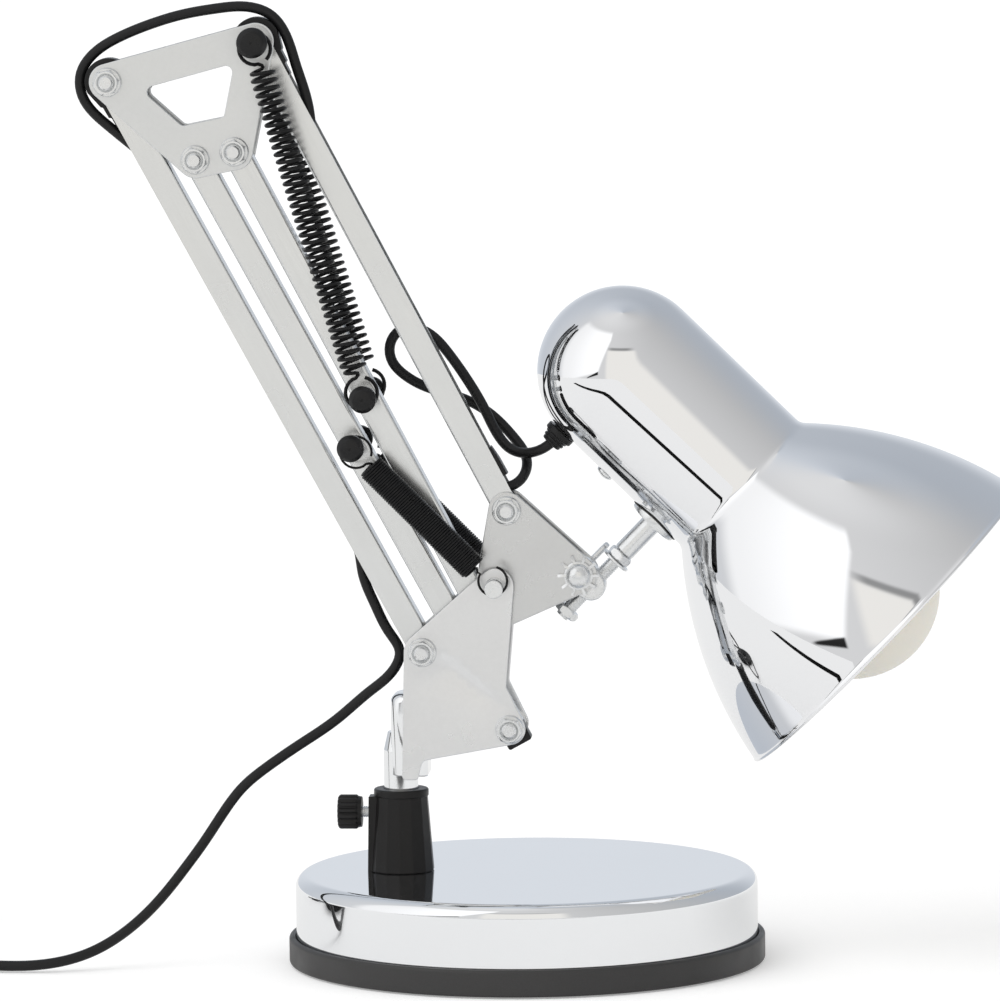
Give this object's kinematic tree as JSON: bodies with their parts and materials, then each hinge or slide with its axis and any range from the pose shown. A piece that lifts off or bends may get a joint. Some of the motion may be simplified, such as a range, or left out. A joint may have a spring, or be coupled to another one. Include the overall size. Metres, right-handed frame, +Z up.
{
  "type": "desk lamp",
  "caption": "Chromed desk lamp with spring-balanced swing arms on a weighted round base, a flared tilting shade with a frosted bulb, and a cord that loops over the knee joint.",
  "frame": {"origin": "centre of the underside of the round foot, on the table", "axes": "+Z up, +X towards the head along the plane of the arms, +Y away from the viewer of the picture"},
  "size_m": [0.4473, 0.2168, 0.3343],
  "materials": {
    "chrome_sheet": "mirror bright",
    "foot_plastic": "satin black",
    "iron": "rough, unseen",
    "pad_rubber": "matt black",
    "chrome_tube": "mirror bright",
    "bracket_sheet": "bright satin",
    "bar_sheet": "bright satin",
    "knee_sheet": "satin",
    "bright_steel": "zinc plated",
    "black_plastic": "moulded black",
    "spring_wire": "blackened",
    "cord_sheath": "satin black",
    "holder_plastic": "moulded white",
    "brass_shell": "plain",
    "frosted_glass": "frosted, warm white",
    "cap_metal": "plain"
  },
  "bodies": {
    "base": {"base_shell": "chrome_sheet", "base_ring": "foot_plastic", "ballast": "iron", "foot_pad": "pad_rubber", "post_socket": "foot_plastic", "socket_screw": "bright_steel", "supply_cord": "cord_sheath", "cord_coil": "cord_sheath", "plug_lead": "cord_sheath", "plug_body": "black_plastic", "plug_pins": "bright_steel", "switch_body": "black_plastic"},
    "thumb_screw": {"thumb_screw": "black_plastic"},
    "column": {"post_tube": "chrome_tube", "post_block": "chrome_tube", "base_bracket_front": "bracket_sheet", "base_bracket_rear": "bracket_sheet", "base_fasteners": "bright_steel", "spring_stubs": "bright_steel"},
    "lower_arm": {"lower_bar": "bar_sheet", "lower_hood": "black_plastic", "lower_cord": "cord_sheath"},
    "lower_link": {"lower_link": "bar_sheet", "lower_link_caps": "black_plastic", "lower_spring_pin": "bright_steel", "lower_spring_knobs": "black_plastic", "lower_springs": "spring_wire"},
    "knee": {"knee_plate_front": "knee_sheet", "knee_plate_rear": "knee_sheet", "knee_fasteners": "bright_steel", "knee_knobs": "black_plastic", "knee_cord": "cord_sheath", "upper_springs": "spring_wire"},
    "upper_arm": {"upper_bar": "bar_sheet", "upper_hood": "black_plastic", "upper_cord": "cord_sheath"},
    "upper_link": {"upper_link": "bar_sheet", "upper_link_caps": "black_plastic", "upper_spring_pin": "bright_steel", "upper_spring_knobs": "black_plastic"},
    "head_bracket": {"head_plate_front": "bracket_sheet", "head_plate_rear": "bracket_sheet", "head_fasteners": "bright_steel"},
    "knuckle": {"knuckle_block": "bright_steel", "tilt_bolt": "bright_steel", "star_washer": "bright_steel"},
    "wing_nut": {"wing_nut": "bright_steel"},
    "head": {"head_stem": "bright_steel", "shade_fasteners": "bright_steel", "lamp_shade": "chrome_sheet", "lampholder": "holder_plastic", "holder_strap": "bright_steel", "holder_contact": "brass_shell", "bulb_glass": "frosted_glass", "bulb_cap": "cap_metal", "cord_grommet": "black_plastic", "head_cord": "cord_sheath"},
    "rocker": {"switch_rocker": "black_plastic"}
  },
  "joints": [
    {"name": "thumb_turn", "type": "hinge", "parent": "base", "child": "thumb_screw", "pos_m": [-0.0435, 0, 0.0516], "axis": [1, 0, 0], "continuous": true},
    {"name": "column_turn", "type": "hinge", "parent": "base", "child": "column", "pos_m": [-0.0435, 0, 0.06], "axis": [0, 0, 1], "range_deg": [-110, 110]},
    {"name": "lower_fold", "type": "hinge", "parent": "column", "child": "lower_arm", "pos_m": [-0.0349, 0, 0.1087], "axis": [0, 1, 0], "range_deg": [0, 70], "deforming": ["lower_springs", "supply_cord"]},
    {"name": "lower_link_turn", "type": "hinge", "parent": "column", "child": "lower_link", "pos_m": [-0.00471, 0, 0.08171], "axis": [0, 1, 0], "range_deg": [0, 70]},
    {"name": "knee_turn", "type": "hinge", "parent": "lower_arm", "child": "knee", "pos_m": [-0.14211, 0, 0.30697], "axis": [0, 1, 0], "range_deg": [-70, 0]},
    {"name": "upper_fold", "type": "hinge", "parent": "knee", "child": "upper_arm", "pos_m": [-0.09051, 0, 0.32077], "axis": [0, 1, 0], "range_deg": [-105, 0], "deforming": ["upper_springs", "knee_cord"]},
    {"name": "upper_link_turn", "type": "hinge", "parent": "knee", "child": "upper_link", "pos_m": [-0.09831, 0, 0.28268], "axis": [0, 1, 0], "range_deg": [-105, 0]},
    {"name": "bracket_turn", "type": "hinge", "parent": "upper_arm", "child": "head_bracket", "pos_m": [-0.00526, 0, 0.15771], "axis": [0, 1, 0], "range_deg": [0, 105]},
    {"name": "head_tilt", "type": "hinge", "parent": "head_bracket", "child": "knuckle", "pos_m": [0.01954, 0, 0.13511], "axis": [0, 1, 0], "range_deg": [-8, 38], "deforming": ["head_cord"]},
    {"name": "wing_turn", "type": "hinge", "parent": "knuckle", "child": "wing_nut", "pos_m": [0.01954, 0.008, 0.13511], "axis": [0, 1, 0], "continuous": true},
    {"name": "head_swivel", "type": "hinge", "parent": "knuckle", "child": "head", "pos_m": [0.02369, 0, 0.13106], "axis": [0.6984, 0, 0.7157], "range_deg": [-60, 60]},
    {"name": "rocker_flip", "type": "hinge", "parent": "base", "child": "rocker", "pos_m": [-0.265, 0.072, 0.014], "axis": [1, 0, 0], "range_deg": [-16, 0]}
  ],
  "couplings": [
    {"joint": "lower_link_turn", "follows": "lower_fold", "ratio": 1},
    {"joint": "knee_turn", "follows": "lower_fold", "ratio": -1},
    {"joint": "upper_link_turn", "follows": "upper_fold", "ratio": 1},
    {"joint": "bracket_turn", "follows": "upper_fold", "ratio": -1}
  ]
}
